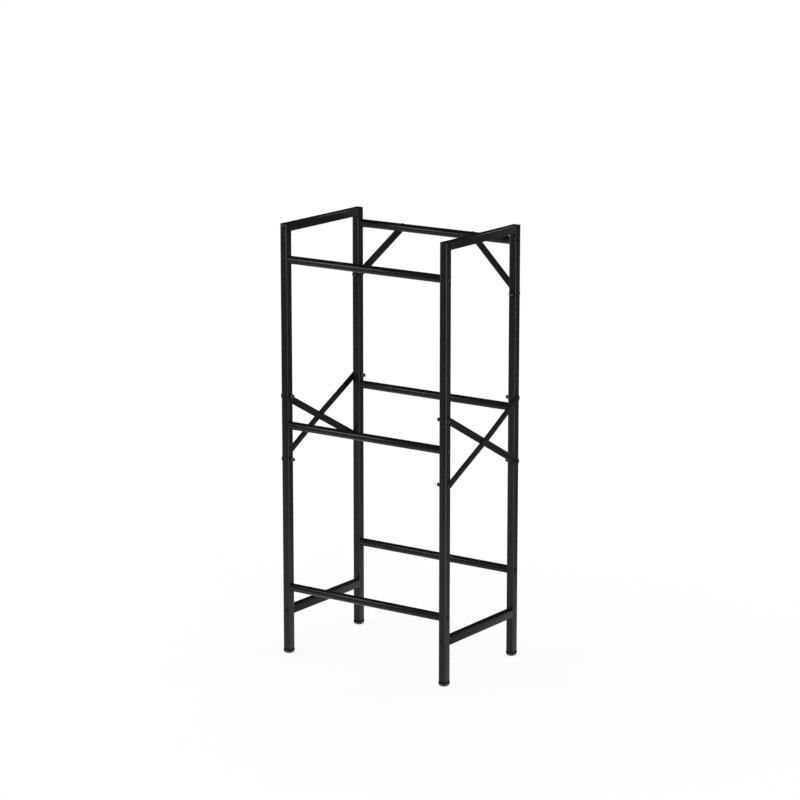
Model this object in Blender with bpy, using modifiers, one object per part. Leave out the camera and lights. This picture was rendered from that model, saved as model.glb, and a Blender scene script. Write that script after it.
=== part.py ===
"""Crate rack: a bolted steel frame with a pair of round rails for each of its three tiers.

The origin is the centre of the footprint on the floor. +Z is up, the front faces -Y and the
right side faces +X. All sizes are in metres.
"""

import math

import bmesh
import bpy
from mathutils import Matrix, Vector

# Overall size, over the tubes
RACK_HEIGHT = 1.090
RACK_WIDTH = 0.490
RACK_DEPTH = 0.320

# Square tube of the two side frames
TUBE_SIZE = 0.020
TUBE_WALL = 0.0012
TUBE_CORNER = 0.0025
INNER_CORNER_SHARE = 0.5
LOWER_SIDE_RAIL_HEIGHT = 0.111

# Round rails that crates lie on, tipped forward: each rear rail is higher than its front rail
RAIL_DIAMETER = 0.020
RAIL_WALL = 0.0012
TIER_COUNT = 3
REAR_TOP_RAIL_DROP = 0.039
REAR_RAIL_RISE = 0.050
LOWEST_RAIL_RISE = 0.060

# Flat strips: a crossed pair on each side at the middle tier, and a knee brace in each rear top corner
STRIP_WIDTH = 0.018
STRIP_THICKNESS = 0.002
BRACE_ABOVE_REAR_RAIL = 0.024
BRACE_BELOW_FRONT_RAIL = 0.086
KNEE_REACH = 0.130

# Bolts with low domed heads and hexagon sockets; shares are of the bolt's diameter
BOLT_DIAMETER = 0.006
HEAD_DIAMETER_SHARE = 1.85
HEAD_HEIGHT_SHARE = 0.5
SOCKET_FLATS_SHARE = 0.667
SOCKET_DEPTH_SHARE = 0.28
HEAD_DOME_SHARES = ((0.54, 1.0), (0.90, 0.56), (1.0, 0.0))

# Dome nuts; the first three shares are of the bolt's diameter
NUT_FLATS_SHARE = 1.667
NUT_HEX_HEIGHT_SHARE = 0.833
NUT_HEIGHT_SHARE = 2.0
NUT_DOME_SHARES = ((0.95, 0.0), (0.80, 0.62), (0.45, 0.90))

# Threaded plugs welded into the ends of the rails, and two threaded sleeves in the top rear rail
END_PLUG_LENGTH = 0.015
END_PLUG_THREAD = 0.012
SLEEVE_DIAMETER_SHARE = 1.5
SLEEVE_LENGTH = 0.012
SLEEVE_THREAD = 0.010

# Plastic feet, pushed into the bottom of the uprights: square at the top, widest at a share of their
# height, and round at the sole
FOOT_HEIGHT = 0.008
FOOT_OVERHANG = 0.0007
FOOT_BULGE_SHARE = 0.5
FOOT_SOLE_SHARE = 0.86
FOOT_STEM_LENGTH = 0.016
FOOT_BARB_COUNT = 2
BARB_DEPTH = 0.0008

# Plastic plugs, pushed into the top of the uprights
PLUG_LIP = 0.002
PLUG_ROUNDING = 0.0008
PLUG_STEM_SHARE = 0.8

# Clearance between pieces that touch, and how far a cutter runs past its wall
GAP = 0.0003
OVERRUN = 0.001
WELD_DISTANCE = 0.000001

# Fineness of round shapes
ROUND_SEGMENTS = 24
BOLT_SEGMENTS = 12
HOLE_SEGMENTS = 8
CORNER_STEPS = 3
END_STEPS = 6
FOOT_STEPS = 3
BOW_STATIONS = 14

# Places worked out from the sizes above
SIDES = {"left": -1, "right": 1}
DEPTHS = {"front": -1, "rear": 1}
TIER_NAMES = ("bottom", "middle", "top")
BOLT_HOLE = BOLT_DIAMETER + 2 * GAP
HOLE_CORNERS = BOLT_HOLE / math.cos(math.pi / HOLE_SEGMENTS)
UPRIGHT_X = (RACK_WIDTH - TUBE_SIZE) / 2
UPRIGHT_Y = (RACK_DEPTH - TUBE_SIZE) / 2
RAIL_Y = (RACK_DEPTH - RAIL_DIAMETER) / 2
TOP_SIDE_RAIL_HEIGHT = RACK_HEIGHT - TUBE_SIZE / 2
TUBE_INSIDE = TUBE_SIZE - 2 * TUBE_WALL
RAIL_INSIDE = RAIL_DIAMETER - 2 * RAIL_WALL
INNER_CORNER = TUBE_CORNER * INNER_CORNER_SHARE
RAIL_LENGTH = RACK_WIDTH - 2 * TUBE_SIZE - 2 * GAP
SIDE_RAIL_LENGTH = RACK_DEPTH - 2 * TUBE_SIZE - 2 * GAP
STRIP_SEAT = 2 * GAP + STRIP_THICKNESS


def rail_heights(row):
    """Heights of the rails' centre lines in one row, bottom tier first."""
    lift = REAR_RAIL_RISE if row == "rear" else 0
    lowest = LOWER_SIDE_RAIL_HEIGHT + LOWEST_RAIL_RISE
    highest = RACK_HEIGHT - REAR_TOP_RAIL_DROP - REAR_RAIL_RISE
    pitch = (highest - lowest) / (TIER_COUNT - 1)
    return [lowest + tier * pitch + lift for tier in range(TIER_COUNT)]


MIDDLE_TIER = TIER_COUNT // 2
BRACE_HIGH = rail_heights("rear")[MIDDLE_TIER] + BRACE_ABOVE_REAR_RAIL
BRACE_LOW = rail_heights("front")[MIDDLE_TIER] - BRACE_BELOW_FRONT_RAIL
KNEE_TOP = rail_heights("rear")[-1]
KNEE_BOTTOM = KNEE_TOP - KNEE_REACH
KNEE_TOP_X = UPRIGHT_X - KNEE_REACH


def clear_scene():
    """Remove the objects that a new file starts with."""
    for thing in list(bpy.data.objects):
        bpy.data.objects.remove(thing)


def new_collection(name):
    """Add a collection to the scene."""
    collection = bpy.data.collections.new(name)
    bpy.context.scene.collection.children.link(collection)
    return collection


def make_finish(name, colour, roughness, metallic):
    """One Principled material."""
    finish = bpy.data.materials.new(name)
    finish.use_nodes = True
    shader = finish.node_tree.nodes["Principled BSDF"]
    shader.inputs["Base Color"].default_value = (*colour, 1.0)
    shader.inputs["Roughness"].default_value = roughness
    shader.inputs["Metallic"].default_value = metallic
    finish.diffuse_color = (*colour, 1.0)
    return finish


def arc(centre, radius, start, end, steps):
    """Points along an arc, with both its ends; angles are in radians."""
    points = []
    for step in range(steps + 1):
        angle = start + (end - start) * step / steps
        points.append((centre[0] + radius * math.cos(angle), centre[1] + radius * math.sin(angle)))
    return points


def circle(diameter, segments, centre=(0, 0)):
    """Outline of a circle, or of any regular polygon by its corner-to-corner size."""
    return arc(centre, diameter / 2, 0, 2 * math.pi, segments)[:-1]


def circle_like(outline, diameter):
    """Outline of a circle, evenly spaced, with as many points as another outline and in line with it."""
    count = len(outline)
    seam = Vector(outline[0]) + Vector(outline[-1])
    start = math.atan2(seam.y, seam.x) + math.pi / count
    return arc((0, 0), diameter / 2, start, start + 2 * math.pi, count)[:-1]


def hexagon(across_flats):
    """Outline of a hexagon by its size across the flats."""
    return circle(across_flats / math.cos(math.pi / 6), 6)


def rounded_square(size, corner):
    """Outline of a square with round corners, centred on the origin."""
    reach = size / 2 - corner
    points = []
    for quarter, (side_x, side_y) in enumerate(((1, 1), (-1, 1), (-1, -1), (1, -1))):
        start = quarter * math.pi / 2
        points += arc((side_x * reach, side_y * reach), corner, start, start + math.pi / 2, CORNER_STEPS)
    return points


def strip_outlines(length):
    """A strip with half-round ends about its two bolt centres, and its two bolt holes."""
    half = length / 2
    right_end = arc((half, 0), STRIP_WIDTH / 2, -math.pi / 2, math.pi / 2, END_STEPS)
    left_end = arc((-half, 0), STRIP_WIDTH / 2, math.pi / 2, 3 * math.pi / 2, END_STEPS)
    holes = [circle(HOLE_CORNERS, HOLE_SEGMENTS, (x, 0)) for x in (-half, half)]
    return [right_end + left_end] + holes


def as_plain_mesh(source):
    """Turn a curve, or a mesh with modifiers, into a welded mesh with its faces pointing out."""
    bpy.context.scene.collection.objects.link(source)
    bpy.context.view_layer.update()
    evaluated = source.evaluated_get(bpy.context.evaluated_depsgraph_get())
    mesh = bpy.data.meshes.new_from_object(evaluated)
    bpy.data.objects.remove(source)
    shape = bmesh.new()
    shape.from_mesh(mesh)
    bmesh.ops.remove_doubles(shape, verts=shape.verts, dist=WELD_DISTANCE)
    bmesh.ops.recalc_face_normals(shape, faces=shape.faces)
    shape.to_mesh(mesh)
    shape.free()
    return mesh


def extruded(outlines, length):
    """Mesh of a flat outline, extruded to both sides of the XY plane; further outlines are holes."""
    curve = bpy.data.curves.new("outline", "CURVE")
    curve.dimensions = "2D"
    curve.fill_mode = "BOTH"
    curve.extrude = length / 2
    for outline in outlines:
        spline = curve.splines.new("POLY")
        spline.points.add(len(outline) - 1)
        for point, (x, y) in zip(spline.points, outline):
            point.co = (x, y, 0, 1)
        spline.use_cyclic_u = True
    return as_plain_mesh(bpy.data.objects.new("outline", curve))


def turned(profile, segments, closed=False):
    """Mesh turned about Z from points (radius, height), which run down the outer side."""
    last = len(profile) if closed else len(profile) - 1
    edges = [(index, (index + 1) % len(profile)) for index in range(last)]
    line = bpy.data.meshes.new("profile")
    line.from_pydata([(radius, 0, height) for radius, height in profile], edges, [])
    solid = bpy.data.objects.new("profile", line)
    screw = solid.modifiers.new("turn", "SCREW")
    screw.axis = "Z"
    screw.angle = 2 * math.pi
    screw.steps = segments
    screw.render_steps = segments
    screw.use_merge_vertices = True
    screw.merge_threshold = WELD_DISTANCE
    return as_plain_mesh(solid)


def lofted(rings, hollow=False):
    """Mesh skinned over rings (outline, height) of equal point count, which go up the outer side.

    A solid shape is capped at its first and last ring. A hollow one goes on down its bore, and
    its last ring is joined to its first.
    """
    shape = bmesh.new()
    loops = []
    for outline, height in rings:
        loops.append([shape.verts.new((x, y, height)) for x, y in outline])
    if hollow:
        pairs = zip(loops, loops[1:] + loops[:1])
    else:
        shape.faces.new(reversed(loops[0]))
        shape.faces.new(loops[-1])
        pairs = zip(loops, loops[1:])
    count = len(loops[0])
    for lower, upper in pairs:
        for index in range(count):
            after = (index + 1) % count
            shape.faces.new((lower[index], lower[after], upper[after], upper[index]))
    mesh = bpy.data.meshes.new("loft")
    shape.to_mesh(mesh)
    shape.free()
    return mesh


def combined(base, tool, operation):
    """Mesh of one mesh cut by, or joined to, another."""
    body = bpy.data.objects.new("body", base)
    cutter = bpy.data.objects.new("cutter", tool)
    bpy.context.scene.collection.objects.link(cutter)
    boolean = body.modifiers.new(operation.lower(), "BOOLEAN")
    boolean.operation = operation
    boolean.solver = "EXACT"
    boolean.object = cutter
    mesh = as_plain_mesh(body)
    bpy.data.objects.remove(cutter)
    return mesh


def moved(mesh, offset):
    """The same mesh, moved along its own Z."""
    mesh.transform(Matrix.Translation((0, 0, offset)))
    return mesh


def placed(origin, z_axis, x_axis=None):
    """Matrix that puts a mesh's own Z along z_axis, and its X along x_axis where one is given."""
    upward = Vector(z_axis).normalized()
    along = Vector(x_axis) if x_axis else upward.orthogonal()
    along = (along - along.dot(upward) * upward).normalized()
    across = upward.cross(along)
    turn = Matrix((along, across, upward)).transposed().to_4x4()
    return Matrix.Translation(origin) @ turn


class Rack:
    """Collects the finished pieces in one collection, under one parent."""

    def __init__(self):
        self.pieces = new_collection("crate_rack")
        self.cutters = new_collection("cutters")
        self.root = bpy.data.objects.new("crate_rack", None)
        self.pieces.objects.link(self.root)

    def add(self, name, mesh, finish, matrix):
        """Add one piece."""
        piece = bpy.data.objects.new(name, mesh)
        piece.parent = self.root
        piece.matrix_world = matrix
        if finish.name not in mesh.materials:
            mesh.materials.append(finish)
        mesh.shade_smooth()
        mesh.set_sharp_from_angle(angle=math.radians(40))
        self.pieces.objects.link(piece)
        return piece

    def work(self, piece, operation, label, diameter, rods):
        """Cut round holes into a piece, or join rods to it; each rod is (centre, axis, length)."""
        shape = bmesh.new()
        for centre, axis, length in rods:
            bmesh.ops.create_cone(
                shape, cap_ends=True, segments=HOLE_SEGMENTS, radius1=diameter / 2,
                radius2=diameter / 2, depth=length, matrix=placed(centre, axis))
        name = f"{piece.name}_{label}"
        mesh = bpy.data.meshes.new(name)
        shape.to_mesh(mesh)
        shape.free()
        tool = bpy.data.objects.new(name, mesh)
        tool.hide_render = True
        tool.display_type = "WIRE"
        self.cutters.objects.link(tool)
        boolean = piece.modifiers.new(label, "BOOLEAN")
        boolean.operation = operation
        boolean.solver = "EXACT"
        boolean.object = tool


def head_profile():
    """Profile of a bolt's head, down to its underside at zero height."""
    radius = BOLT_DIAMETER * HEAD_DIAMETER_SHARE / 2
    height = BOLT_DIAMETER * HEAD_HEIGHT_SHARE
    return [(0, height)] + [(radius * out, height * up) for out, up in HEAD_DOME_SHARES]


def with_socket(bolt):
    """Cut the hexagon socket into a bolt's head."""
    depth = BOLT_DIAMETER * SOCKET_DEPTH_SHARE
    socket = extruded([hexagon(BOLT_DIAMETER * SOCKET_FLATS_SHARE)], 2 * depth)
    return combined(bolt, moved(socket, BOLT_DIAMETER * HEAD_HEIGHT_SHARE), "DIFFERENCE")


def bolt_mesh(length):
    """A bolt along Z: the underside of its head is at zero and its shank points down."""
    shank = BOLT_DIAMETER / 2
    profile = head_profile() + [(shank, 0), (shank, -length), (0, -length)]
    return with_socket(turned(profile, BOLT_SEGMENTS))


def nutted_bolt_mesh(grip, bolt_steel, nut_steel):
    """A bolt along Z with a dome nut screwed on, which leaves a grip between the nut and the head."""
    shank = BOLT_DIAMETER / 2
    flats = BOLT_DIAMETER * NUT_FLATS_SHARE
    hex_height = BOLT_DIAMETER * NUT_HEX_HEIGHT_SHARE
    nut_height = BOLT_DIAMETER * NUT_HEIGHT_SHARE
    hex_middle = -grip - hex_height / 2
    dome_start = -grip - hex_height
    dome_height = nut_height - hex_height
    dome = [(flats / 2 * out, dome_start - dome_height * down) for out, down in NUT_DOME_SHARES]
    profile = head_profile() + [(shank, 0), (shank, hex_middle), (dome[0][0], hex_middle)]
    profile += dome + [(0, -grip - nut_height)]
    block = moved(extruded([hexagon(flats)], hex_height), hex_middle)
    mesh = combined(with_socket(turned(profile, BOLT_SEGMENTS)), block, "UNION")
    mesh.materials.append(bolt_steel)
    mesh.materials.append(nut_steel)
    for face in mesh.polygons:
        face.material_index = 1 if face.center.z < -grip else 0
    return mesh


def foot_mesh():
    """A foot along Z: the round sole is at zero and the barbed stem points up."""
    stem = TUBE_INSIDE - 2 * GAP
    widest = TUBE_SIZE + 2 * FOOT_OVERHANG
    sole = widest * FOOT_SOLE_SHARE
    sole_corner = sole / 2 - GAP
    bulge = FOOT_HEIGHT * FOOT_BULGE_SHARE
    turns = [math.pi / 2 * step / FOOT_STEPS for step in range(FOOT_STEPS + 1)]
    rings = []
    for turn in turns:
        size = sole + (widest - sole) * math.sin(turn)
        corner = sole_corner + (TUBE_CORNER - sole_corner) * math.sin(turn)
        rings.append((rounded_square(size, corner), bulge * (1 - math.cos(turn))))
    for turn in turns[1:]:
        size = widest - 2 * FOOT_OVERHANG * (1 - math.cos(turn))
        rings.append((rounded_square(size, TUBE_CORNER), bulge + (FOOT_HEIGHT - bulge) * math.sin(turn)))
    neck = rounded_square(stem - 2 * BARB_DEPTH, INNER_CORNER)
    barb = rounded_square(stem, INNER_CORNER)
    rings.append((neck, FOOT_HEIGHT))
    pitch = FOOT_STEM_LENGTH / (FOOT_BARB_COUNT + 1)
    for number in range(1, FOOT_BARB_COUNT + 1):
        height = FOOT_HEIGHT + number * pitch
        rings.append((neck, height))
        rings.append((barb, height))
    rings.append((neck, FOOT_HEIGHT + FOOT_STEM_LENGTH))
    return lofted(rings)


def plug_mesh():
    """A plug along Z: its top face is at zero and its short stem points down."""
    stem_length = (TUBE_SIZE / 2 - PLUG_LIP - BOLT_DIAMETER / 2) * PLUG_STEM_SHARE
    stem = rounded_square(TUBE_INSIDE - 2 * GAP, INNER_CORNER)
    lip = rounded_square(TUBE_SIZE, TUBE_CORNER)
    top = rounded_square(TUBE_SIZE - 2 * PLUG_ROUNDING, TUBE_CORNER)
    return lofted([(stem, -PLUG_LIP - stem_length), (stem, -PLUG_LIP), (lip, -PLUG_LIP),
                   (lip, -PLUG_ROUNDING), (top, 0)])


def bow(mesh, half_span):
    """Bend a strip out over the one it crosses, as a thin strip does when its ends are bolted flat."""
    rise = STRIP_THICKNESS + GAP
    shape = bmesh.new()
    shape.from_mesh(mesh)
    for station in range(BOW_STATIONS + 1):
        x = half_span * (2 * station / BOW_STATIONS - 1)
        everything = shape.verts[:] + shape.edges[:] + shape.faces[:]
        bmesh.ops.bisect_plane(shape, geom=everything, plane_co=(x, 0, 0), plane_no=(1, 0, 0))
    for vertex in shape.verts:
        share = max(0, 1 - abs(vertex.co.x) / half_span)
        vertex.co.z += rise * (3 * share ** 2 - 2 * share ** 3)
    shape.to_mesh(mesh)
    shape.free()
    return mesh


def add_uprights(rack, powder_coat):
    """Four full-height uprights, drilled for every bolt that goes through them."""
    bottom = FOOT_HEIGHT + GAP
    length = RACK_HEIGHT - PLUG_LIP - GAP - bottom
    outlines = [rounded_square(TUBE_SIZE, TUBE_CORNER), rounded_square(TUBE_INSIDE, INNER_CORNER)]
    mesh = moved(extruded(outlines, length), bottom + length / 2)
    through = TUBE_SIZE + 2 * OVERRUN
    for row, depth in DEPTHS.items():
        for side, hand in SIDES.items():
            x = hand * UPRIGHT_X
            y = depth * UPRIGHT_Y
            upright = rack.add(f"upright_{row}_{side}", mesh, powder_coat, Matrix.Translation((x, y, 0)))
            front_heights = [LOWER_SIDE_RAIL_HEIGHT, TOP_SIDE_RAIL_HEIGHT]
            if row == "rear":
                front_heights.append(KNEE_BOTTOM)
            holes = [((x, depth * RAIL_Y, height), (1, 0, 0), through) for height in rail_heights(row)]
            holes += [((x, y, height), (1, 0, 0), through) for height in (BRACE_LOW, BRACE_HIGH)]
            holes += [((x, y, height), (0, 1, 0), through) for height in front_heights]
            rack.work(upright, "DIFFERENCE", "bolt_holes", HOLE_CORNERS, holes)


def add_side_rails(rack, powder_coat):
    """Two square rails from front to rear on each side, with a threaded plug welded into each end."""
    outer = rounded_square(TUBE_SIZE, TUBE_CORNER)
    inner = rounded_square(TUBE_INSIDE, INNER_CORNER)
    bore = circle_like(outer, BOLT_HOLE)
    end = SIDE_RAIL_LENGTH / 2
    step = end - END_PLUG_LENGTH
    mesh = lofted([(outer, -end), (outer, end), (bore, end), (bore, step), (inner, step),
                   (inner, -step), (bore, -step), (bore, -end)], hollow=True)
    for level, height in (("lower", LOWER_SIDE_RAIL_HEIGHT), ("top", TOP_SIDE_RAIL_HEIGHT)):
        for side, hand in SIDES.items():
            rack.add(f"{level}_side_rail_{side}", mesh, powder_coat,
                     placed((hand * UPRIGHT_X, 0, height), (0, 1, 0), (1, 0, 0)))


def tier_name(tier):
    """Name of a tier, counted from the bottom."""
    return TIER_NAMES[tier] if TIER_COUNT == len(TIER_NAMES) else f"tier_{tier + 1}"


def add_crate_rails(rack, powder_coat):
    """A front and a rear round rail for each tier, with a threaded plug welded into each end."""
    outer = RAIL_DIAMETER / 2
    inner = RAIL_INSIDE / 2
    bore = BOLT_HOLE / 2
    end = RAIL_LENGTH / 2
    step = end - END_PLUG_LENGTH
    profile = [(outer, end), (outer, -end), (bore, -end), (bore, -step), (inner, -step),
               (inner, step), (bore, step), (bore, end)]
    mesh = turned(profile, ROUND_SEGMENTS, closed=True)
    for row, depth in DEPTHS.items():
        for tier, height in enumerate(rail_heights(row)):
            rail = rack.add(f"{row}_rail_{tier_name(tier)}", mesh, powder_coat,
                            placed((0, depth * RAIL_Y, height), (1, 0, 0)))
    fit_sleeves(rack, rail)


def fit_sleeves(rack, rail):
    """Two threaded sleeves, pressed into the back of the top rear rail for the knee braces."""
    middle = RACK_DEPTH / 2 - SLEEVE_LENGTH / 2
    sleeves = []
    bores = []
    for hand in SIDES.values():
        centre = (hand * KNEE_TOP_X, middle, KNEE_TOP)
        sleeves.append((centre, (0, 1, 0), SLEEVE_LENGTH))
        bores.append((centre, (0, 1, 0), SLEEVE_LENGTH + 2 * OVERRUN))
    rack.work(rail, "UNION", "sleeves", BOLT_DIAMETER * SLEEVE_DIAMETER_SHARE, sleeves)
    rack.work(rail, "DIFFERENCE", "sleeve_bores", HOLE_CORNERS, bores)


def add_side_braces(rack, powder_coat):
    """On each side a straight strip on the uprights, and one bowed out over it where they cross."""
    rise = BRACE_HIGH - BRACE_LOW
    length = math.hypot(2 * UPRIGHT_Y, rise)
    flat_end = TUBE_SIZE / 2 * length / (2 * UPRIGHT_Y)
    straight = extruded(strip_outlines(length), STRIP_THICKNESS)
    bowed = bow(extruded(strip_outlines(length), STRIP_THICKNESS), length / 2 - flat_end)
    seat = RACK_WIDTH / 2 + GAP + STRIP_THICKNESS / 2
    for side, hand in SIDES.items():
        origin = (hand * seat, 0, (BRACE_HIGH + BRACE_LOW) / 2)
        outward = (hand, 0, 0)
        rack.add(f"side_brace_inner_{side}", straight, powder_coat,
                 placed(origin, outward, (0, 2 * UPRIGHT_Y, -rise)))
        rack.add(f"side_brace_outer_{side}", bowed, powder_coat,
                 placed(origin, outward, (0, 2 * UPRIGHT_Y, rise)))


def add_knee_braces(rack, powder_coat):
    """A sloping strip behind each rear top corner, from the upright up to the top rear rail."""
    mesh = extruded(strip_outlines(math.hypot(KNEE_REACH, KNEE_REACH)), STRIP_THICKNESS)
    seat = RACK_DEPTH / 2 + GAP + STRIP_THICKNESS / 2
    for side, hand in SIDES.items():
        centre = (hand * (UPRIGHT_X + KNEE_TOP_X) / 2, seat, (KNEE_TOP + KNEE_BOTTOM) / 2)
        rack.add(f"knee_brace_{side}", mesh, powder_coat,
                 placed(centre, (0, 1, 0), (-hand * KNEE_REACH, 0, KNEE_REACH)))


def add_rail_bolts(rack, bolt_steel):
    """Bolts from the outer side faces into the crate rails."""
    mesh = bolt_mesh(2 * GAP + TUBE_SIZE + END_PLUG_THREAD)
    for row, depth in DEPTHS.items():
        for tier, height in enumerate(rail_heights(row)):
            for side, hand in SIDES.items():
                head = (hand * (RACK_WIDTH / 2 + GAP), depth * RAIL_Y, height)
                rack.add(f"rail_bolt_{row}_{tier_name(tier)}_{side}", mesh, bolt_steel,
                         placed(head, (hand, 0, 0)))


def add_side_rail_bolts(rack, bolt_steel):
    """Bolts from the front and rear faces of the uprights into the side rails."""
    mesh = bolt_mesh(2 * GAP + TUBE_SIZE + END_PLUG_THREAD)
    for level, height in (("lower", LOWER_SIDE_RAIL_HEIGHT), ("top", TOP_SIDE_RAIL_HEIGHT)):
        for row, depth in DEPTHS.items():
            for side, hand in SIDES.items():
                head = (hand * UPRIGHT_X, depth * (RACK_DEPTH / 2 + GAP), height)
                rack.add(f"side_rail_bolt_{level}_{row}_{side}", mesh, bolt_steel,
                         placed(head, (0, depth, 0)))


def add_brace_bolts(rack, bolt_steel, nut_steel):
    """Bolts with dome nuts through the strips and the uprights, and the bolts at the knees' tops."""
    nutted = nutted_bolt_mesh(STRIP_SEAT + TUBE_SIZE + GAP, bolt_steel, nut_steel)
    short = bolt_mesh(STRIP_SEAT + SLEEVE_THREAD)
    side_seat = RACK_WIDTH / 2 + STRIP_SEAT
    rear_seat = RACK_DEPTH / 2 + STRIP_SEAT
    for side, hand in SIDES.items():
        for row, depth in DEPTHS.items():
            for level, height in (("low", BRACE_LOW), ("high", BRACE_HIGH)):
                rack.add(f"brace_bolt_{level}_{row}_{side}", nutted, bolt_steel,
                         placed((hand * side_seat, depth * UPRIGHT_Y, height), (hand, 0, 0)))
        rack.add(f"knee_bolt_lower_{side}", nutted, bolt_steel,
                 placed((hand * UPRIGHT_X, rear_seat, KNEE_BOTTOM), (0, 1, 0)))
        rack.add(f"knee_bolt_upper_{side}", short, bolt_steel,
                 placed((hand * KNEE_TOP_X, rear_seat, KNEE_TOP), (0, 1, 0)))


def add_feet_and_plugs(rack, plastic):
    """A foot under each upright and a plug in its top."""
    foot = foot_mesh()
    plug = plug_mesh()
    for row, depth in DEPTHS.items():
        for side, hand in SIDES.items():
            x = hand * UPRIGHT_X
            y = depth * UPRIGHT_Y
            rack.add(f"foot_{row}_{side}", foot, plastic, Matrix.Translation((x, y, 0)))
            rack.add(f"top_plug_{row}_{side}", plug, plastic, Matrix.Translation((x, y, RACK_HEIGHT)))


def main():
    """Build the rack."""
    clear_scene()
    powder_coat = make_finish("black_powder_coat", (0.022, 0.022, 0.023), 0.38, 0.0)
    plastic = make_finish("black_plastic", (0.015, 0.015, 0.016), 0.30, 0.0)
    bolt_steel = make_finish("black_bolt_steel", (0.03, 0.03, 0.032), 0.35, 0.6)
    nut_steel = make_finish("black_nut_steel", (0.02, 0.02, 0.022), 0.2, 0.8)
    rack = Rack()
    add_uprights(rack, powder_coat)
    add_side_rails(rack, powder_coat)
    add_crate_rails(rack, powder_coat)
    add_side_braces(rack, powder_coat)
    add_knee_braces(rack, powder_coat)
    add_rail_bolts(rack, bolt_steel)
    add_side_rail_bolts(rack, bolt_steel)
    add_brace_bolts(rack, bolt_steel, nut_steel)
    add_feet_and_plugs(rack, plastic)


main()
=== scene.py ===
"""Crate rack: every piece of the bolted steel frame modelled in full, with its finishes and a studio.

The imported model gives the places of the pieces, in metres: +Z is up, the front faces -Y and the
right side faces +X.
"""

import math

import bmesh
import bpy
from mathutils import Matrix, Vector


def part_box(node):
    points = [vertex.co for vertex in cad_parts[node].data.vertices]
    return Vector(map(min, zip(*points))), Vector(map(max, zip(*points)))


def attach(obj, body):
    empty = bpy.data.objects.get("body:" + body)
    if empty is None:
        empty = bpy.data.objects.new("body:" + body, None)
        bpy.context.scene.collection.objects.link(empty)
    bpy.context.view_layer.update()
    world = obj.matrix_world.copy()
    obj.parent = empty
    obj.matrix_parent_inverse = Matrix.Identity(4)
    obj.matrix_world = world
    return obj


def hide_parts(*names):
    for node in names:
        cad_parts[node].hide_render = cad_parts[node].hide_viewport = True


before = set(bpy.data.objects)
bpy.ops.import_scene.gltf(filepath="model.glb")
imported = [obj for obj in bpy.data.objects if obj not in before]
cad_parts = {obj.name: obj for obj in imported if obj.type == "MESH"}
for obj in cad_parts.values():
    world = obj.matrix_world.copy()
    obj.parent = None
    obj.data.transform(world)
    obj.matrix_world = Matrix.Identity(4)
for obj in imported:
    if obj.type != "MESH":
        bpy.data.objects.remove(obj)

bl_info = {
    "name": "Crate Rack",
    "version": (1, 0, 0),
    "blender": (4, 5, 0),
    "location": "3D View > Sidebar > Crate Rack",
    "description": "Models a bolted steel crate rack with its finishes, and a plain studio round it",
    "category": "Add Mesh",
}

SIDES = {"left": -1, "right": 1}
ROWS = {"front": -1, "rear": 1}
CORNERS = [(row, side) for row in ROWS for side in SIDES]
TIERS = ("bottom", "middle", "top")
X_AXIS = Vector((1, 0, 0))
Y_AXIS = Vector((0, 1, 0))
Z_AXIS = Vector((0, 0, 1))

# How near a place counts as being at it, and how near two points count as the same, in metres
NEAR = 0.00005
SAME = 0.000001

# The least cosine between two directions that count as parallel
PARALLEL = 0.999

# How much longer a cutter is than what it cuts, in metres
OVERRUN = 0.002

# Faces that meet at less than this angle are shaded as one surface
SMOOTH = math.radians(35)


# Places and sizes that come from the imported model

def box_of(node):
    """Lowest corner, highest corner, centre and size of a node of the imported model."""
    low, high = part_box(node)
    return low, high, (low + high) / 2, high - low


def centre_of(node):
    """Centre of a node's box."""
    return box_of(node)[2]


def size_of(node):
    """Size of a node's box."""
    return box_of(node)[3]


def bolts_in(node):
    """Centre and axis of every bolt that passes into a node."""
    low, high, _, _ = box_of(node)
    found = []
    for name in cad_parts:
        bolt_low, bolt_high, centre, size = box_of(name)
        meets = all(bolt_low[i] < high[i] and bolt_high[i] > low[i] for i in range(3))
        if "bolt" in name and meets:
            found.append((centre, X_AXIS if size.x > size.y else Y_AXIS))
    return found


# Sizes and colours that a user would change

def length(name, description, default):
    """A length that a user can set."""
    return bpy.props.FloatProperty(
        name=name, description=description, default=default, min=0, precision=4, unit="LENGTH")


def share(name, description, default):
    """A share from 0 to 1 that a user can set."""
    return bpy.props.FloatProperty(
        name=name, description=description, default=default, min=0, max=1, subtype="FACTOR")


def colour(name, description, default):
    """A colour that a user can set."""
    return bpy.props.FloatVectorProperty(
        name=name, description=description, default=default, size=3, min=0, max=1, subtype="COLOR")


def amount(name, description, default):
    """A plain number that a user can set."""
    return bpy.props.FloatProperty(name=name, description=description, default=default, min=0)


def angle(name, description, default):
    """An angle that a user can set."""
    return bpy.props.FloatProperty(
        name=name, description=description, default=math.radians(default), subtype="ANGLE")


def pointer(kind, name, description):
    """A group of settings."""
    return bpy.props.PointerProperty(type=kind, name=name, description=description)


class RackTubes(bpy.types.PropertyGroup):
    """Square tube, round rail and the plugs welded into their ends."""

    square: length("Tube", "Outer width of the square tube", size_of("upright_front_left").x)
    corner: length("Corner", "Outer rounding of the square tube", 0.0018)
    round: length("Rail", "Diameter of the round rails", size_of("front_rail_top").z)
    wall: length("Wall", "Wall of the tubes and rails", 0.0012)
    rim: length("Rim", "Rounding of the cut ends", 0.0003)
    plug: length("Welded plug", "Length of the threaded plug in each end of a rail", 0.015)
    sleeve: length("Sleeve", "Depth of the sleeves pressed into the top rear rail", 0.012)


class RackStrips(bpy.types.PropertyGroup):
    """Flat strips of the side braces and the knee braces."""

    width: length("Width", "Width of a strip", 0.018)
    thickness: length("Thickness", "Thickness of a strip", size_of("knee_brace_right").y)
    edge: length("Edge", "Rounding of a strip's edges", 0.0003)


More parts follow.
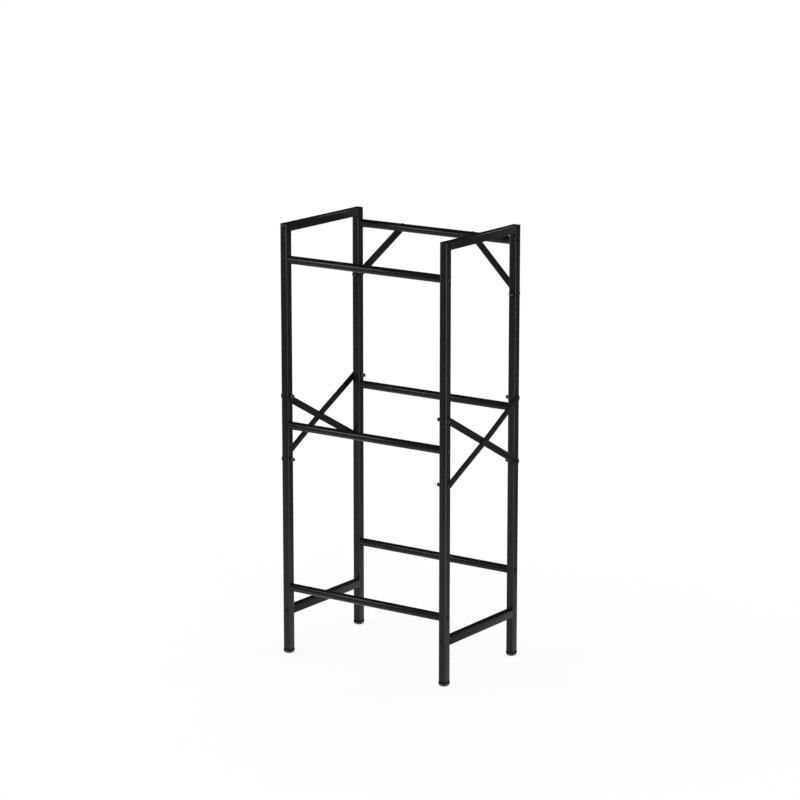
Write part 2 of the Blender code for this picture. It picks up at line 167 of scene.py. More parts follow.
class RackFasteners(bpy.types.PropertyGroup):
    """Bolts with low domed heads, and dome nuts."""

    bolt: length("Bolt", "Diameter of the bolts", 0.006)
    clearance: length("Clearance", "Play of a bolt in its hole, all round", 0.0003)
    head: length("Head", "Diameter of a bolt's head", size_of("rail_bolt_front_top_left").z)
    head_height: length("Head height", "Height of a bolt's head", 0.003)
    head_dome: length("Head dome", "Rounding of a bolt's head", 0.00255)
    socket: length("Socket", "Width of the hexagon socket across its flats", 0.004)
    socket_depth: length("Socket depth", "Depth of the hexagon socket", 0.0017)
    nut: length("Nut", "Width of a dome nut across its flats", 0.010)
    nut_hexagon: length("Nut hexagon", "Height of a dome nut's hexagon", 0.005)
    nut_height: length("Nut height", "Height of a dome nut with its dome", 0.012)


class RackPlastics(bpy.types.PropertyGroup):
    """Feet under the uprights, and plugs in their tops."""

    foot_height: length("Foot height", "Height of a foot below its upright", 0.008)
    foot_bulge: share("Foot bulge", "Where a foot is widest, as a share of its height", 0.85)
    foot_collar: length("Foot collar", "Height of a foot's thin collar round its upright", 0.0024)
    foot_corner: length("Foot corner", "Rounding of a foot's four corners", 0.0025)
    foot_rim: length("Foot rim", "Rounding of a collar's upper rim", 0.0003)
    foot_sole: share("Foot sole", "Diameter of the round sole, as a share of the foot's width", 0.86)
    stem: length("Stem", "Length of a foot's barbed stem", 0.016)
    barb: length("Barb", "Depth of the barbs on a foot's stem", 0.0008)
    plug_lip: length("Plug lip", "Thickness of a plug's lip on top of its upright", 0.002)
    plug_rim: length("Plug rim", "Rounding of a plug's upper rim", 0.0008)


class RackFinishes(bpy.types.PropertyGroup):
    """Colours and gloss of the rack."""

    coat: colour("Powder coat", "Colour of the powder coat", (0.0045, 0.0046, 0.0048))
    coat_pale: colour("Coat, pale", "Paler tone in the powder coat", (0.0066, 0.0067, 0.0070))
    # Painted highlight, not a thin coat: a pale tone on the square tubes' rounded corners stands in for
    # the reflection that runs along them.
    coat_corner_highlight: colour("Coat, edges", "Tone of the thin coat on a tube's corners", (0.044, 0.044, 0.045))
    coat_roughness: share("Coat roughness", "Roughness of the powder coat", 0.30)
    coat_gloss: share("Coat gloss", "Specular level of the powder coat", 0.22)
    orange_peel: length("Orange peel", "Size of the ripples in the powder coat", 0.0014)
    plastic: colour("Plastic", "Colour of the feet and plugs", (0.0014, 0.0014, 0.0015))
    # The paler plastic tone is real wear on rubbed spots, and on the soles it is also a painted
    # reflection of the white floor.
    plastic_wear_and_sheen: colour("Plastic, worn", "Paler tone where it is rubbed", (0.060, 0.060, 0.061))
    plastic_roughness: share("Plastic roughness", "Roughness of the moulded plastic", 0.44)
    plastic_gloss: share("Plastic gloss", "Specular level of the moulded plastic", 0.07)
    sole_shine: share("Sole shine", "Shine of the soles, which the floor has rubbed smooth", 1.0)
    bolt: colour("Bolt", "Colour of the black bolts", (0.0105, 0.0105, 0.0112))
    bolt_roughness: share("Bolt roughness", "Roughness of the black bolts", 0.36)
    nut: colour("Nut", "Colour of the glossy black nuts", (0.004, 0.004, 0.0044))
    nut_roughness: share("Nut roughness", "Roughness of the glossy black nuts", 0.13)


class RackStudio(bpy.types.PropertyGroup):
    """Camera, floor and lights."""

    camera: bpy.props.FloatVectorProperty(
        name="Camera", description="Where the camera stands", size=3, subtype="XYZ", unit="LENGTH",
        default=(4.20136, -6.01001, 2.31169))
    turn: angle("Turn", "How far the camera is turned from the front to the right", 34.959)
    tilt: angle("Tilt", "How far the camera looks down", 12.757)
    lens: amount("Lens", "Focal length in millimetres", 137.478)
    floor: length("Floor", "Radius of the floor", 4.0)
    floor_tone: share("Floor tone", "Brightness of the floor", 0.88)
    room: amount("Room", "Light from all round", 0.80)
    # Painted pool of light: in gloss the floor glows brightest round this point and dims towards the
    # backdrop level away from it.
    pool: bpy.props.FloatVectorProperty(
        name="Pool", description="Where the floor looks brightest in the coat's gloss", size=3,
        subtype="XYZ", unit="LENGTH", default=(-0.45, -0.75, 0))
    backdrop: amount("Backdrop", "How bright the far floor looks in the coat's gloss", 0.25)
    ceiling: amount("Ceiling", "How bright the ceiling looks in the coat's gloss", 0.015)


class RackSettings(bpy.types.PropertyGroup):
    """All settings of the crate rack."""

    tubes: pointer(RackTubes, "Tubes", "Tubes and rails")
    strips: pointer(RackStrips, "Strips", "Flat strips")
    fasteners: pointer(RackFasteners, "Fasteners", "Bolts and nuts")
    plastics: pointer(RackPlastics, "Plastics", "Feet and plugs")
    finishes: pointer(RackFinishes, "Finishes", "Colours and gloss")
    studio: pointer(RackStudio, "Studio", "Camera, floor and lights")


def settings():
    """The rack's settings in the current scene."""
    return bpy.context.scene.crate_rack


def hole_width():
    """Diameter of a hole that a bolt passes through with its play."""
    fasteners = settings().fasteners
    return fasteners.bolt + 2 * fasteners.clearance


# Modelling by hand

def select_only(*pieces):
    """Select these objects and nothing else, and make the first one active."""
    for other in bpy.context.selected_objects:
        other.select_set(False)
    for piece in pieces:
        piece.select_set(True)
    bpy.context.view_layer.objects.active = pieces[0]


def start_piece(name):
    """Name the primitive that was just added, apply its place and size, and go into edit mode."""
    piece = bpy.context.active_object
    piece.name = name
    piece.data.name = name
    select_only(piece)
    bpy.ops.object.transform_apply(location=True, rotation=True, scale=True)
    bpy.ops.object.mode_set(mode="EDIT")
    bpy.ops.mesh.select_all(action="DESELECT")
    return piece


def block(name, centre, size):
    """Start a piece from a block, in edit mode."""
    bpy.ops.mesh.primitive_cube_add(size=1, location=centre, scale=size)
    return start_piece(name)


def rod(name, centre, diameter, height, axis=Z_AXIS, sides=48):
    """Start a piece from a round or many-sided rod, in edit mode."""
    turn = axis.to_track_quat("Z", "Y").to_euler()
    bpy.ops.mesh.primitive_cylinder_add(
        vertices=sides, radius=diameter / 2, depth=height, location=centre, rotation=turn)
    return start_piece(name)


def leave(piece):
    """Leave edit mode with the piece's faces pointing out."""
    bpy.ops.mesh.select_all(action="SELECT")
    bpy.ops.mesh.normals_make_consistent(inside=False)
    bpy.ops.mesh.select_all(action="DESELECT")
    bpy.ops.object.mode_set(mode="OBJECT")
    return piece


def enter(piece):
    """Go into edit mode on a piece, with nothing selected."""
    select_only(piece)
    bpy.ops.object.mode_set(mode="EDIT")
    bpy.ops.mesh.select_all(action="DESELECT")


def pick(piece, kind, test):
    """Select the faces, edges or vertices of the piece in edit mode that pass a test."""
    bpy.ops.mesh.select_mode(type=kind)
    bpy.ops.mesh.select_all(action="DESELECT")
    shape = bmesh.from_edit_mesh(piece.data)
    parts = {"FACE": shape.faces, "EDGE": shape.edges, "VERT": shape.verts}[kind]
    chosen = [part for part in parts if test(part)]
    if not chosen:
        raise RuntimeError(f"{piece.name}: nothing to select")
    for part in chosen:
        part.select_set(True)
    shape.select_flush_mode()
    bmesh.update_edit_mesh(piece.data)


def pick_faces(piece, direction):
    """Select the faces that look one way."""
    pick(piece, "FACE", lambda face: face.normal.dot(direction) > PARALLEL)


def pick_caps(piece, axis):
    """Select the two end faces across an axis."""
    pick(piece, "FACE", lambda face: abs(face.normal.dot(axis)) > PARALLEL and len(face.verts) > 4)


def pick_long_edges(piece, axis):
    """Select the edges that run along an axis."""
    def test(edge):
        """True for an edge along the axis."""
        run = edge.verts[1].co - edge.verts[0].co
        return abs(run.normalized().dot(axis)) > PARALLEL

    pick(piece, "EDGE", test)


def pick_rim(piece, direction, at=None):
    """Select the outline of the flat end that looks one way, at a place where one is given."""
    def test(edge):
        """True for an edge between the flat end and the sides."""
        facing = [face.normal.dot(direction) for face in edge.link_faces]
        level = at is None or abs(edge.verts[0].co.dot(direction) - at) < NEAR
        return level and len(facing) == 2 and max(facing) > PARALLEL and abs(min(facing)) < 0.5

    pick(piece, "EDGE", test)


def bevel(width, steps=1):
    """Bevel the selected edges."""
    bpy.ops.mesh.bevel(offset=width, segments=steps, affect="EDGES")


def push(offset):
    """Extrude the selected faces by an offset."""
    bpy.ops.mesh.extrude_region_move(TRANSFORM_OT_translate={"value": offset})


def ledge(factor):
    """Step in or out at the selected faces: they are made again and scaled across Z."""
    push((0, 0, 0))
    scale_about((factor, factor, 1), (0, 0, 0))


def scale_about(factors, centre):
    """Scale what is selected about a centre."""
    bpy.ops.transform.resize(value=factors, center_override=centre)


def apply_boolean(piece, tool, operation):
    """Cut a piece with a tool, or join the tool to it, and remove the tool."""
    select_only(piece)
    boolean = piece.modifiers.new(operation.lower(), "BOOLEAN")
    boolean.operation = operation
    boolean.solver = "EXACT"
    boolean.object = tool
    bpy.ops.object.modifier_apply(modifier=boolean.name)
    bpy.data.objects.remove(tool)
    enter(piece)
    bpy.ops.mesh.select_all(action="SELECT")
    bpy.ops.mesh.remove_doubles(threshold=SAME)
    leave(piece)


def drill(piece, centre, axis, diameter, depth, sides=32):
    """Drill a round hole, or one with few sides, centred on a point."""
    cutter = leave(rod("cutter", centre, diameter, depth, axis, sides))
    apply_boolean(piece, cutter, "DIFFERENCE")


def copy_to(master, name, place):
    """Copy a piece with its own mesh, and apply its place to the mesh."""
    select_only(master)
    bpy.ops.object.duplicate(linked=False)
    piece = bpy.context.active_object
    piece.name = name
    piece.data.name = name
    piece.matrix_world = place
    bpy.ops.object.transform_apply(location=True, rotation=True, scale=True)
    return piece


def moved(start, node):
    """Matrix that moves a piece from the centre of one node to that of another."""
    return Matrix.Translation(centre_of(node) - centre_of(start))


def placed(origin, z_axis, x_axis=None):
    """Matrix that puts a piece's own Z along z_axis, and its X along x_axis where one is given."""
    upward = Vector(z_axis).normalized()
    along = Vector(x_axis) if x_axis is not None else upward.orthogonal()
    along = (along - along.dot(upward) * upward).normalized()
    across = upward.cross(along)
    turn = Matrix((along, across, upward)).transposed().to_4x4()
    return Matrix.Translation(origin) @ turn


def scrap(*masters):
    """Remove the pieces that only served as masters for copies."""
    for master in masters:
        bpy.data.objects.remove(master)


# Pieces

def square_bar(name, node, axis):
    """Start a square bar with round corners, in a node's box."""
    piece = block(name, centre_of(node), size_of(node))
    pick_long_edges(piece, axis)
    bevel(settings().tubes.corner, 6)
    return piece


def soften_ends(piece, axis):
    """Round off the outlines of both flat ends across an axis."""
    for hand in (-1, 1):
        pick_rim(piece, hand * axis)
        bevel(settings().tubes.rim, 2)


def square_tube(name, node, axis):
    """Hollow square tube, open at both ends, in a node's box."""
    tubes = settings().tubes
    centre = centre_of(node)
    end = size_of(node).dot(axis) / 2
    piece = square_bar(name, node, axis)
    pick_caps(piece, axis)
    bpy.ops.mesh.inset(thickness=tubes.wall)
    bpy.ops.mesh.bridge_edge_loops()

    def outer_end(edge):
        """True for an edge in either end whose middle lies near the tube's outside."""
        middle = (edge.verts[0].co + edge.verts[1].co) / 2 - centre
        level = middle.dot(axis)
        reach = max(abs(value) for value in middle - level * axis)
        return abs(abs(level) - end) < NEAR and reach > tubes.square / 2 - tubes.corner * 0.35

    pick(piece, "EDGE", outer_end)
    bevel(tubes.rim, 2)
    return leave(piece)


def drill_for_bolts(piece, node):
    """Drill an upright, in one cut, for every bolt that goes through it."""
    middle = centre_of(node)
    reach = settings().tubes.square + OVERRUN
    cutters = []
    for centre, axis in bolts_in(node):
        start = centre + (middle - centre).dot(axis) * axis
        cutters.append(leave(rod("cutter", start, hole_width(), reach, axis, 32)))
    select_only(*cutters)
    bpy.ops.object.join()
    apply_boolean(piece, cutters[0], "DIFFERENCE")


def plugged_side_rail(name, node):
    """Square rail with a threaded plug welded into each end."""
    tubes = settings().tubes
    centre = centre_of(node)
    size = size_of(node)
    piece = square_bar(name, node, Y_AXIS)
    soften_ends(piece, Y_AXIS)
    leave(piece)
    drill(piece, centre, Y_AXIS, hole_width(), size.y + OVERRUN)
    inside = tubes.square - 2 * tubes.wall
    hollow = block("hollow", centre, (inside, size.y - 2 * tubes.plug, inside))
    pick_long_edges(hollow, Y_AXIS)
    bevel(tubes.corner - tubes.wall, 4)
    apply_boolean(piece, leave(hollow), "DIFFERENCE")
    return piece


def plugged_round_rail(name, node):
    """Round rail, softened at its ends, with a threaded plug welded into each end."""
    tubes = settings().tubes
    centre = centre_of(node)
    piece = rod(name, centre, tubes.round, size_of(node).x, X_AXIS, 64)
    outer = tubes.round / 2
    bore = hole_width() / 2
    soften_ends(piece, X_AXIS)
    pick_caps(piece, X_AXIS)
    bpy.ops.mesh.inset(thickness=outer - tubes.rim - bore)
    for hand in (-1, 1):
        end = centre.x + hand * size_of(node).x / 2
        pick(piece, "FACE", lambda face: len(face.verts) > 4
             and abs(face.calc_center_median().x - end) < NEAR)
        push((-hand * tubes.plug, 0, 0))
        push((0, 0, 0))
        ratio = (outer - tubes.wall) / bore
        scale_about((1, ratio, ratio), (end - hand * tubes.plug, centre.y, centre.z))
    pick_caps(piece, X_AXIS)
    bpy.ops.mesh.bridge_edge_loops()
    return leave(piece)


def flat_strip(name, reach, stations=0):
    """Flat strip along X with half-round ends, and a bolt hole in each, reach apart.

    With stations it is bowed between them, as a thin strip is when its ends are bolted flat.
    """
    strips = settings().strips
    half = reach / 2
    piece = block(name, (0, 0, 0), (reach + strips.width, strips.width, strips.thickness))
    pick_long_edges(piece, Z_AXIS)
    bevel(strips.width / 2 * 0.99995, 14)
    bpy.ops.mesh.select_all(action="SELECT")
    bpy.ops.mesh.remove_doubles(threshold=2 * SAME)
    if stations:
        half_rise = (size_of("side_brace_inner_left").z - strips.width) / 2
        half_run = math.sqrt(half ** 2 - half_rise ** 2)
        bowed = half - settings().tubes.square / 2 * half / half_run
        for station in range(stations + 1):
            bpy.ops.mesh.select_all(action="SELECT")
            bpy.ops.mesh.bisect(
                plane_co=(bowed * (2 * station / stations - 1), 0, 0), plane_no=(1, 0, 0))
        rise = size_of("side_brace_outer_left").x - strips.thickness
        pick(piece, "VERT", lambda vertex: abs(vertex.co.x) < NEAR)
        bpy.ops.transform.translate(
            value=(0, 0, rise), use_proportional_edit=True, proportional_edit_falloff="SMOOTH",
            proportional_size=bowed)

    def edge_of_strip(edge):
        """True for an edge between a flat face and the strip's narrow side."""
        facing = sorted(abs(face.normal.z) for face in edge.link_faces)
        return len(facing) == 2 and facing[0] < 0.2 and facing[1] > 0.9

    pick(piece, "EDGE", edge_of_strip)
    bevel(strips.edge, 2)
    leave(piece)
    for hand in (-1, 1):
        drill(piece, (hand * half, 0, 0), Z_AXIS, hole_width(), strips.thickness * 3)
    return piece


def domed_bolt(name, reach):
    """Bolt along Z with its shank pointing down: low domed head, hexagon socket, chamfered tip."""
    fasteners = settings().fasteners
    head = fasteners.head_height
    piece = rod(name, (0, 0, head / 2), fasteners.head, head)
    pick_rim(piece, Z_AXIS)
    bevel(fasteners.head_dome, 8)
    pick_faces(piece, -Z_AXIS)
    bpy.ops.mesh.inset(thickness=(fasteners.head - fasteners.bolt) / 2)
    push((0, 0, -reach))
    pick_rim(piece, -Z_AXIS, reach)
    bevel(fasteners.bolt * 0.1)
    leave(piece)
    corner = fasteners.socket / math.cos(math.pi / 6)
    drill(piece, (0, 0, head), Z_AXIS, corner, 2 * fasteners.socket_depth, 6)
    return piece


def dome_nut(name, seat):
    """Dome nut along Z, its seat at a height and its dome pointing down."""
    fasteners = settings().fasteners
    corner = fasteners.nut / math.cos(math.pi / 6)
    hexagon = fasteners.nut_hexagon
    middle = (0, 0, seat - hexagon / 2)
    piece = rod(name, middle, corner * 1.01, hexagon)
    for hand in (-1, 1):
        pick_rim(piece, hand * Z_AXIS)
        bevel((corner - fasteners.nut) / 2 + fasteners.nut * 0.02)
    leave(piece)
    six = leave(rod("six", middle, corner, hexagon * 1.5, Z_AXIS, 6))
    apply_boolean(piece, six, "INTERSECT")
    dome_height = fasteners.nut_height - hexagon / 2
    dome_width = fasteners.nut * 0.95
    dome = rod("dome", (0, 0, middle[2] - dome_height / 2), dome_width, dome_height)
    pick_rim(dome, -Z_AXIS)
    bevel(dome_width / 2 * 0.93, 12)
    apply_boolean(piece, leave(dome), "UNION")
    bore = fasteners.bolt + fasteners.clearance
    drill(piece, (0, 0, seat), Z_AXIS, bore, 2 * (hexagon + fasteners.bolt / 2))
    return piece


def skin(piece, outlines):
    """Close a shape over square outlines (width, corner, height), from the lowest to the highest."""
    for width, corner, height in outlines:
        bpy.ops.mesh.primitive_plane_add(size=width, location=(0, 0, height))
        bpy.ops.mesh.bevel(offset=corner, segments=8, affect="VERTICES")
    heights = [height for _, _, height in outlines]

    def pick_loops(*levels):
        """Select the outlines that lie at these heights."""
        pick(piece, "EDGE", lambda edge: all(
            min(abs(end.co.z - level) for level in levels) < SAME for end in edge.verts))

    for low, high in zip(heights, heights[1:]):
        pick_loops(low, high)
        bpy.ops.mesh.bridge_edge_loops()
    for level in (heights[0], heights[-1]):
        pick_loops(level)
        bpy.ops.mesh.edge_face_add()


def barbed_foot(name):
    """Foot along Z: a round sole that widens to a thin square collar round the tube, and a stem."""
    tubes = settings().tubes
    plastics = settings().plastics
    clearance = settings().fasteners.clearance
    widest = size_of("foot_front_left").x
    sole = widest * plastics.foot_sole
    sole_corner = sole / 2 - plastics.foot_rim
    bulge = plastics.foot_height * plastics.foot_bulge
    top = plastics.foot_height + plastics.foot_collar
    bpy.ops.mesh.primitive_plane_add(size=sole)
    piece = start_piece(name)
    bpy.ops.mesh.select_all(action="SELECT")
    bpy.ops.mesh.delete(type="VERT")
    outlines = []
    turns = [math.pi / 2 * step / 8 for step in range(9)]
    for turn in turns:
        width = sole + (widest - sole) * math.sin(turn)
        corner = sole_corner + (plastics.foot_corner - sole_corner) * math.sin(turn)
        outlines.append((width, corner, bulge * (1 - math.cos(turn))))
    for turn in turns[::4]:
        width = widest - 2 * plastics.foot_rim * (1 - math.cos(turn))
        outlines.append((width, plastics.foot_corner, top - plastics.foot_rim * (1 - math.sin(turn))))
    skin(piece, outlines)
    pick(piece, "FACE", lambda face: abs(face.calc_center_median().z - top) < SAME)
    pocket = tubes.square + clearance / 2
    bpy.ops.mesh.inset(thickness=(widest - pocket) / 2 - plastics.foot_rim)
    push((0, 0, -plastics.foot_collar))
    inside = tubes.square - 2 * tubes.wall - 2 * clearance
    neck = inside - 2 * plastics.barb
    ledge(neck / pocket)
    rise = plastics.stem / 3
    for _ in range(2):
        push((0, 0, rise))
        ledge(inside / neck)
        push((0, 0, rise / 2))
        scale_about((neck / inside, neck / inside, 1), (0, 0, 0))
    return leave(piece)


def tube_plug(name):
    """Plug along Z with its top at zero: a softened lip and a short stem."""
    tubes = settings().tubes
    plastics = settings().plastics
    lip = plastics.plug_lip
    piece = block(name, (0, 0, -lip / 2), (tubes.square, tubes.square, lip))
    pick_long_edges(piece, Z_AXIS)
    bevel(tubes.corner, 6)
    pick_rim(piece, Z_AXIS, 0)
    bevel(plastics.plug_rim, 4)
    pick_faces(piece, -Z_AXIS)
    bpy.ops.mesh.inset(thickness=tubes.wall + settings().fasteners.clearance)
    push((0, 0, lip - size_of("top_plug_front_left").z))
    return leave(piece)


# Finishes

class Signal:
    """A socket in a node tree; sums, differences and products of signals add their Math nodes."""

    def __init__(self, nodes, socket):
        self.nodes = nodes
        self.socket = socket

    def math(self, operation, first, second):
        """A Math node on two values or signals."""
        return self.nodes.add("ShaderNodeMath", {"operation": operation}, {0: first, 1: second})

    def outputs(self):
        """All outputs of the socket's node, as signals."""
        return [Signal(self.nodes, socket) for socket in self.socket.node.outputs]

    def __add__(self, other):
        return self.math("ADD", self, other)

    def __radd__(self, other):
        return self.math("ADD", other, self)

    def __sub__(self, other):
        return self.math("SUBTRACT", self, other)

    def __rsub__(self, other):
        return self.math("SUBTRACT", other, self)

    def __mul__(self, other):
        return self.math("MULTIPLY", self, other)


class Nodes:
    """Builds the node tree of one material, or of the world."""

    def __init__(self, owner):
        owner.use_nodes = True
        self.tree = owner.node_tree
        self.tree.nodes.clear()

    def add(self, kind, choices=None, inputs=None, output=0):
        """Add a node with its settings, then the values or links of its sockets."""
        node = self.tree.nodes.new(kind)
        for name, value in (choices or {}).items():
            setattr(node, name, value)
        for name, value in (inputs or {}).items():
            if isinstance(value, Signal):
                self.tree.links.new(value.socket, node.inputs[name])
            else:
                node.inputs[name].default_value = value
        return Signal(self, node.outputs[output]) if node.outputs else None

    def blend(self, factor, first, second):
        """A mix of two colours, by a mix node's colour sockets."""
        return self.add("ShaderNodeMix", {"data_type": "RGBA"}, {0: factor, 6: first, 7: second}, 2)

    def mix(self, factor, first, second):
        """A mix of two shaders."""
        return self.add("ShaderNodeMixShader", None, {0: factor, 1: first, 2: second})

    def glow(self, kind, strength):
        """A white emission or background."""
        return self.add(kind, None, {"Color": (1, 1, 1, 1), "Strength": strength})

    def ramp(self, value, *stops):
        """A value turned into another by a ramp between two stops of (position, tone)."""
        signal = self.add("ShaderNodeValToRGB", None, {"Fac": value})
        elements = signal.socket.node.color_ramp.elements
        for element, (position, tone) in zip(elements, stops):
            element.position = position
            element.color = (tone, tone, tone, 1)
        return signal

    def noise(self, place, size, detail=2.0):
        """Noise with grains of about a size, in metres."""
        inputs = {"Vector": place, "Scale": 1 / size, "Detail": detail, "Roughness": 0.5}
        return self.add("ShaderNodeTexNoise", None, inputs)

    def bump(self, strength, depth, height):
        """A bump that strong, over a depth in metres."""
        inputs = {"Strength": strength, "Distance": depth, "Height": height}
        return self.add("ShaderNodeBump", None, inputs)


def full(tone, times=1.0):
    """A colour, or one that many times as bright, with its alpha."""
    return (*[times * value for value in tone], 1.0)


def new_finish(name):
    """A new material, its nodes, and the object's own coordinates in it."""
    material = bpy.data.materials.new(name)
    nodes = Nodes(material)
    place = nodes.add("ShaderNodeTexCoord", output=3)
    return material, nodes, place


def finish_output(nodes, inputs):
    """Join a Principled shader with these inputs to the material's output."""
    shader = nodes.add("ShaderNodeBsdfPrincipled", None, inputs)
    nodes.add("ShaderNodeOutputMaterial", None, {"Surface": shader})


def seen(nodes):
    """Two masks: what the camera sees directly, and what it sees in gloss or through glass."""
    outputs = nodes.add("ShaderNodeLightPath").socket.node.outputs
    camera, glossy, clear = [
        Signal(nodes, outputs[f"Is {kind} Ray"]) for kind in ("Camera", "Glossy", "Transmission")]
    return camera, glossy + clear


def corner_highlight_mask(nodes):
    """One on the rounded corners of a tube that runs along an axis, zero on its flat sides: where the
    painted corner highlight goes.
    """
    normal = nodes.add("ShaderNodeTexCoord", output=1)
    across = nodes.add("ShaderNodeVectorMath", {"operation": "ABSOLUTE"}, {0: normal})
    x, y, z = nodes.add("ShaderNodeSeparateXYZ", None, {0: across}).outputs()
    level = x.math("MAXIMUM", x, y)
    level = level.math("MAXIMUM", level, z)
    return nodes.ramp(1 - level, (0.03, 0.0), (0.20, 1.0))


def powder_coat(name):
    """Satin black powder coat with ripples and grain; on a square tube its rounded corners get a
    painted highlight, a pale tone in the base colour.
    """
    finishes = settings().finishes
    material, nodes, place = new_finish(name)
    cloud = nodes.noise(place, 0.060, detail=3.0)
    grain = nodes.noise(place, finishes.orange_peel * 0.35)
    ripple = nodes.noise(place, finishes.orange_peel, detail=1.0)
    nibs = nodes.ramp(nodes.noise(place, 0.0020, detail=0.0), (0.74, 0.0), (0.80, 1.0))
    tone = nodes.ramp(cloud * 0.75 + grain * 0.25, (0.38, 0.0), (0.62, 1.0))
    base = nodes.blend(tone, full(finishes.coat), full(finishes.coat_pale))
    # Painted highlight, not a thinner coat: on the square tubes the rounded corners get a pale tone
    # that stands in for the reflection along them.
    if name == "tube_coat_painted_highlight":
        thin = corner_highlight_mask(nodes) * (0.6 + cloud * 0.6 + grain * 0.2)
        base = nodes.blend(thin, base, full(finishes.coat_corner_highlight))
    roughness = cloud * 0.10 + grain * 0.08 + (finishes.coat_roughness - 0.09) + nibs * 0.08
    height = ripple * 0.8 + grain * 0.2 + nibs * 0.5
    finish_output(nodes, {
        "Base Color": base, "Roughness": roughness, "Normal": nodes.bump(0.12, 0.00012, height),
        "Specular IOR Level": finishes.coat_gloss})
    return material


def moulded_plastic(name):
    """Black moulded plastic with faint flow marks, rubbed spots, and soles polished by the floor; the
    soles are paler, partly from wear and partly a painted reflection of the white floor.
    """
    finishes = settings().finishes
    material, nodes, place = new_finish(name)
    flow = nodes.noise(place, 0.012)
    spark = nodes.noise(place, 0.0006)
    rubbed = nodes.ramp(nodes.noise(place, 0.004, detail=3.0), (0.48, 0.0), (0.66, 1.0))
    height = nodes.add("ShaderNodeSeparateXYZ", None, {0: place}, 2)
    sole = nodes.ramp(height * (1 / settings().plastics.foot_height), (0.50, 1.0), (0.92, 0.0))
    # The sole band gets the paler tone, partly wear from the floor and partly a painted reflection of
    # the white floor; above it only the rubbed spots are paler.
    wear_and_sheen = rubbed * 0.10 * (1 - sole) + sole * (0.55 + rubbed * 0.45)
    base = nodes.blend(wear_and_sheen, full(finishes.plastic), full(finishes.plastic_wear_and_sheen))
    roughness = flow * 0.08 + rubbed * 0.10 + (finishes.plastic_roughness - 0.08) - sole * 0.22
    bump = nodes.bump(0.15, 0.00008, flow * 0.6 + spark * 0.4)
    finish_output(nodes, {
        "Base Color": base, "Roughness": roughness, "Normal": bump,
        "Specular IOR Level": finishes.plastic_gloss, "Coat Weight": sole * finishes.sole_shine,
        "Coat Roughness": 0.15})
    return material


def black_bolt_steel(name):
    """Blackened steel of the bolts, with a fine grain and a little bare metal shining through."""
    finishes = settings().finishes
    material, nodes, place = new_finish(name)
    patch = nodes.noise(place, 0.003, detail=3.0)
    grain = nodes.noise(place, 0.00025)
    bare = nodes.ramp(patch * 0.7 + grain * 0.3, (0.50, 0.0), (0.68, 1.0))
    base = nodes.blend(bare, full(finishes.bolt), full(finishes.bolt, 2.5))
    roughness = grain * 0.12 + (finishes.bolt_roughness - 0.06)
    bump = nodes.bump(0.20, 0.00003, grain)
    finish_output(nodes, {
        "Base Color": base, "Roughness": roughness, "Metallic": 0.75 + bare * 0.2, "Normal": bump})
    return material


def glossy_nut_black(name):
    """Glossy black lacquer of the dome nuts, thin and a little uneven."""
    finishes = settings().finishes
    material, nodes, place = new_finish(name)
    cloud = nodes.noise(place, 0.004, detail=3.0)
    grain = nodes.noise(place, 0.0003)
    tone = nodes.ramp(cloud, (0.40, 0.0), (0.62, 1.0))
    base = nodes.blend(tone, full(finishes.nut), full(finishes.nut, 1.8))
    roughness = cloud * 0.10 + grain * 0.06 + (finishes.nut_roughness - 0.08)
    bump = nodes.bump(0.12, 0.00003, cloud * 0.6 + grain * 0.4)
    finish_output(nodes, {"Base Color": base, "Roughness": roughness, "Normal": bump})
    return material


FINISHES = {
    "powder_coat": ("black_powder_coat", powder_coat),
    "tube_coat_painted_highlight": ("black_powder_coat", powder_coat),
    "moulded_plastic": ("black_plastic", moulded_plastic),
    "bolt_steel": ("black_bolt_steel", black_bolt_steel),
    "nut_black": ("bolt_with_black_nut", glossy_nut_black),
}


def fit_piece(piece, finish, *nodes):
    """Smooth a piece, give it a finish, made when first asked for, and put it in place of its nodes."""
    slot, make = FINISHES[finish]
    select_only(piece)
    bpy.ops.object.shade_smooth_by_angle(angle=SMOOTH)
    piece.data.materials.clear()
    piece.data.materials.append(bpy.data.materials.get(finish) or make(finish))
    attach(piece, "root")
    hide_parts(*nodes)


def set_bolt(bolt, node, outward, nut=None):
    """Copy a bolt, and its nut where it has one, into a node's box with the head outward."""
    reach = size_of(node).dot(Vector([abs(value) for value in outward]))
    under = centre_of(node) + outward * (reach / 2 - settings().fasteners.head_height)
    place = placed(under, outward)
    fit_piece(copy_to(bolt, f"black_{node}", place), "bolt_steel", node)
    if nut:
        name = node.replace("bolt", "nut")
        fit_piece(copy_to(nut, f"black_{name}", place), "nut_black", node)


def set_at_corners(master, kind, end):
    """Copy a plastic piece to the four corners, at the low end (0) or high end (1) of each box."""
    for row, side in CORNERS:
        node = f"{kind}_{row}_{side}"
        centre = centre_of(node)
        place = Matrix.Translation((centre.x, centre.y, box_of(node)[end].z))
        fit_piece(copy_to(master, f"black_{node}", place), "moulded_plastic", node)
    scrap(master)


# Operators, one for each group of like pieces

class CRATERACK_OT_uprights(bpy.types.Operator):
    """Model the four uprights, drilled for their bolts"""

    bl_idname = "crate_rack.uprights"
    bl_label = "Uprights"

    def execute(self, context):
        """Model one tube, then copy and drill it for each corner."""
        start = "upright_front_left"
        master = square_tube("tube", start, Z_AXIS)
        for row, side in CORNERS:
            node = f"upright_{row}_{side}"
            piece = copy_to(master, f"coated_{node}", moved(start, node))
            drill_for_bolts(piece, node)
            fit_piece(piece, "tube_coat_painted_highlight", node)
        scrap(master)
        return {"FINISHED"}


